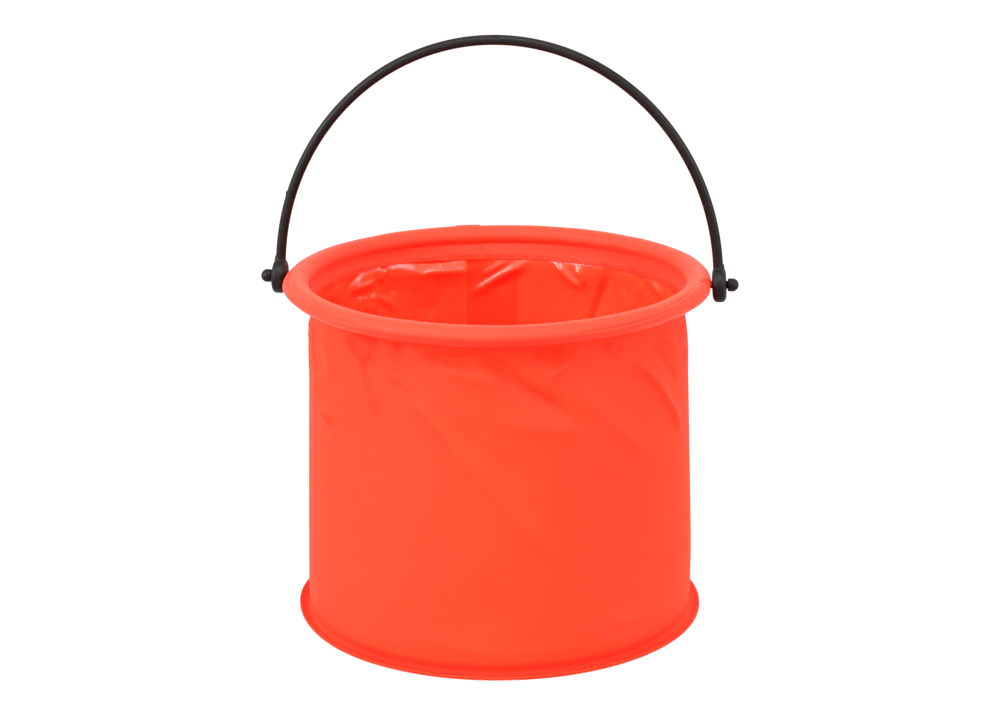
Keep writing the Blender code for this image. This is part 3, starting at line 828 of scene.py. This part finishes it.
def make_lights():
    world = bpy.data.worlds.new("studio")
    bpy.context.scene.world = world
    world.use_nodes = True
    background = world.node_tree.nodes["Background"]
    background.inputs["Color"].default_value = (1, 1, 1, 1)
    background.inputs["Strength"].default_value = SKY
    for name, place, size, power in LAMPS:
        lamp = bpy.data.lights.new(name, "AREA")
        lamp.shape, lamp.size, lamp.energy = "SQUARE", size, power
        made = bpy.data.objects.new(name, lamp)
        bpy.context.scene.collection.objects.link(made)
        made.location = place
        aim = Vector(LAMP_AIM) - Vector(place)
        made.rotation_euler = aim.to_track_quat("-Z", "Y").to_euler()


def make_floor():
    mesh = bpy.data.meshes.new("floor")
    shape = bmesh.new()
    bmesh.ops.create_grid(shape, x_segments=1, y_segments=1, size=TABLE_SIZE)
    shape.to_mesh(mesh)
    shape.free()
    floor = bpy.data.objects.new("floor", mesh)
    bpy.context.scene.collection.objects.link(floor)
    nodes = Nodes("floor_paint")
    nodes.shader.inputs["Base Color"].default_value = (TABLE_GREY, TABLE_GREY, TABLE_GREY, 1)
    nodes.shader.inputs["Roughness"].default_value = 0.9
    nodes.shader.inputs["Specular IOR Level"].default_value = 0.0
    nodes.shader.inputs["Emission Color"].default_value = (1, 1, 1, 1)
    nodes.shader.inputs["Emission Strength"].default_value = TABLE_GLOW
    mesh.materials.append(nodes.material)
    floor.location.z = -TABLE_DROP


def make_camera():
    lens = bpy.data.cameras.new("camera")
    lens.lens, lens.sensor_width = CAMERA_LENS, CAMERA_SENSOR
    made = bpy.data.objects.new("camera", lens)
    bpy.context.scene.collection.objects.link(made)
    place = Vector(CAMERA_PLACE)
    back = (place - Vector(CAMERA_AIM)).normalized()
    right = Vector(CAMERA_UP).cross(back).normalized()
    turn = Matrix((right, back.cross(right), back)).transposed()
    made.matrix_world = Matrix.Translation(place) @ turn.to_4x4()
    bpy.context.scene.camera = made


def around(*degrees):
    """Places round the bucket, as metres along the cloth's UV map."""
    return [math.radians(a) * RIM_RADIUS for a in degrees]


def wall_materials(outline):
    """The wall's two sides: matt cloth with painted shade in the groove above its lip, and a glossy
    coating with painted shade on the panel beside the seam and a painted highlight at the seam tape's
    edge.
    """
    down = walked(outline)
    high, low, inside, outside = FOOT_SHADE_BAND
    foot = len(outline) - FOOT_ROWS
    edges = [down[np.argmax(outline[:, 1] < z)] for z in (high, low)]
    edges += [down[foot + np.argmax(outline[foot:, 0] > r)] for r in (inside, outside)]
    # painted shade: the groove above the lip is darkened in the cloth's colour, most of all on the
    # front
    foot_shade, front = ("Y", *edges), ("X", *around(*FOOT_SHADE_FRONT))
    outer = cloth_material("outer_cloth", (1.0, 0.031, 0.0115), roughness=0.7, specular=0.05,
                           pitch=0.0016, depth=0.00003, thread_tint=0.07, sheen=0.06,
                           bands=[([foot_shade], FOOT_SHADE_DEPTH[0]), ([foot_shade, front], FOOT_SHADE_DEPTH[1])])
    # painted shade: the panel beside the seam is made darker in the coating's colour
    start, crest, end = around(*SEAM_STEP)
    panel, line = ("X", start, start + PANEL_EASE, crest, end), ("X", *around(*SEAM_HIGHLIGHT_SPAN))
    # painted highlight: a thin strip at the seam tape's edge is made paler in the coating's colour
    inner = cloth_material("inner_coating", (1.0, 0.038, 0.012), roughness=0.27, specular=0.4,
                           pitch=0.0016, depth=0.00001,
                           bands=[([panel], PANEL_SHADE_DEPTH), ([line], -SEAM_HIGHLIGHT)])
    return outer, inner


def main():
    make_camera()
    make_lights()
    make_floor()
    bpy.context.scene.view_settings.view_transform = "Standard"
    outline = wall_outline()
    outer, inner = wall_materials(outline)
    hem = cloth_material("hem_cloth", (1.0, 0.0275, 0.0098), roughness=0.5, specular=0.16,
                         pitch=0.0020, depth=0.00025, thread_tint=0.3, sheen=0.13)
    lining = cloth_material("hem_lining", (1.0, 0.021, 0.007), roughness=0.5, specular=0.1,
                            pitch=0.0016, depth=0.00001)
    black = plastic_material("black_plastic", (0.0046, 0.0030, 0.0028), 0.45, 0.135)
    natural = plastic_material("natural_plastic", (0.6, 0.58, 0.53), 0.4, 0.4)

    relief = make_wall(outline, outer, inner)
    make_tape(outline, relief, inner)
    make_hem(hem, lining)
    make_base(outer, inner)
    make_handle(black)
    for name, side in (("stud_left", -1), ("stud_right", 1)):
        make_stud(name, side, black)
    for hidden in ("rim_hoop", "hoop_joiner"):
        node = frame["nodes"][hidden]
        node.data.materials.clear()
        node.data.materials.append(natural)


main()
